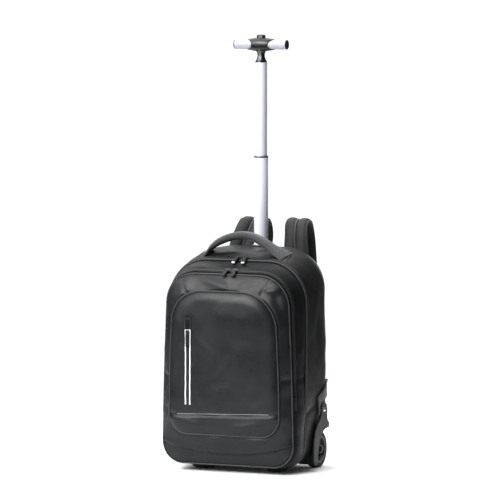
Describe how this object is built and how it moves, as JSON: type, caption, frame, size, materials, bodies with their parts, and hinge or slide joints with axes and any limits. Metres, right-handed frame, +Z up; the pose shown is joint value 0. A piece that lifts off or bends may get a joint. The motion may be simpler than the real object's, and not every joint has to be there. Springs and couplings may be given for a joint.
{
  "type": "wheeled backpack",
  "caption": "Soft backpack with padded shoulder straps, a carry handle, wheels in moulded housings and a telescopic pole with a T-shaped grip, pulled out.",
  "frame": {"origin": "bottom centre of the whole object's box, on the floor it stands on", "axes": "+Z up along the pole, -Y to the front with the pockets, +X to the right of someone who looks at the front"},
  "size_m": [0.3364, 0.3284, 0.9455],
  "materials": {
    "coated_cloth": "smooth coated polyester, soft sheen",
    "gusset_cloth": "plain woven polyester, matt",
    "strap_cloth": "padded woven cloth, matt",
    "webbing": "ribbed webbing",
    "black_trim": "binding tape and piping",
    "zip": "coil zip tape",
    "reflective_tape": "silver reflective tape",
    "slider": "black painted die casting",
    "pull": "corded pull with a moulded end",
    "black_plastic": "moulded, fine grain",
    "grey_plastic": "moulded, fine grain",
    "white_aluminium": "satin anodised",
    "rivet_metal": "bright rivet head",
    "tyre": "soft rolling tread",
    "rubber_foot": "moulded foot"
  },
  "bodies": {
    "bag": {"main_gusset": "gusset_cloth", "main_front_wall": "coated_cloth", "back_panel": "coated_cloth", "front_gusset": "gusset_cloth", "front_surround": "coated_cloth", "front_base_panel": "coated_cloth", "front_panel": "coated_cloth", "low_pocket_panel": "coated_cloth", "low_pocket_trim": "black_trim", "piping_pocket": "black_trim", "piping_front": "black_trim", "piping_main": "black_trim", "piping_back": "black_trim", "zip_main": "zip", "zip_front": "zip", "zip_pocket": "zip", "reflective_tape_left": "reflective_tape", "reflective_tape_right": "reflective_tape", "zip_garage": "black_trim", "zip_slider_main_left": "slider", "zip_slider_main_right": "slider", "zip_slider_front_left": "slider", "zip_slider_front_right": "slider", "zip_pull_main_left": "pull", "zip_pull_main_right": "pull", "zip_pull_front_left": "pull", "zip_pull_front_right": "pull", "pocket_slider": "slider", "pocket_pull": "pull", "carry_handle": "webbing", "shoulder_strap_left": "strap_cloth", "shoulder_strap_right": "strap_cloth", "strap_webbing_left": "webbing", "strap_webbing_right": "webbing", "ladder_buckle_left": "black_plastic", "ladder_buckle_right": "black_plastic", "strap_tab_left": "webbing", "strap_tab_right": "webbing", "pole_collar": "black_plastic", "pole_outer": "white_aluminium", "foot_left": "rubber_foot", "foot_right": "rubber_foot", "wheel_housing_left": "grey_plastic", "wheel_housing_right": "grey_plastic", "housing_rivet_left": "rivet_metal", "housing_rivet_right": "rivet_metal"},
    "middle_stage": {"pole_middle": "white_aluminium", "pole_ring": "black_plastic"},
    "grip_stage": {"pole_top": "white_aluminium", "handle_hub": "grey_plastic", "handle_bar_left": "white_aluminium", "handle_bar_right": "white_aluminium", "handle_cap_left": "black_plastic", "handle_cap_right": "black_plastic"},
    "release_button": {"handle_button": "black_plastic"},
    "left_wheel": {"wheel_tyre_left": "tyre", "wheel_hub_left": "grey_plastic"},
    "right_wheel": {"wheel_tyre_right": "tyre", "wheel_hub_right": "grey_plastic"}
  },
  "joints": [
    {"name": "pole_middle_slide", "type": "slide", "parent": "bag", "child": "middle_stage", "axis": [0, 0, -1], "range_m": [0, 0.188]},
    {"name": "pole_top_slide", "type": "slide", "parent": "middle_stage", "child": "grip_stage", "axis": [0, 0, -1], "range_m": [0, 0.205]},
    {"name": "button_press", "type": "slide", "parent": "grip_stage", "child": "release_button", "axis": [0, 0, -1], "range_m": [0, 0.003], "stiffness_N_per_m": 500},
    {"name": "left_wheel_spin", "type": "hinge", "parent": "bag", "child": "left_wheel", "pos_m": [-0.138, 0.0372, 0.04], "axis": [1, 0, 0], "continuous": true},
    {"name": "right_wheel_spin", "type": "hinge", "parent": "bag", "child": "right_wheel", "pos_m": [0.138, 0.0372, 0.04], "axis": [1, 0, 0], "continuous": true}
  ]
}
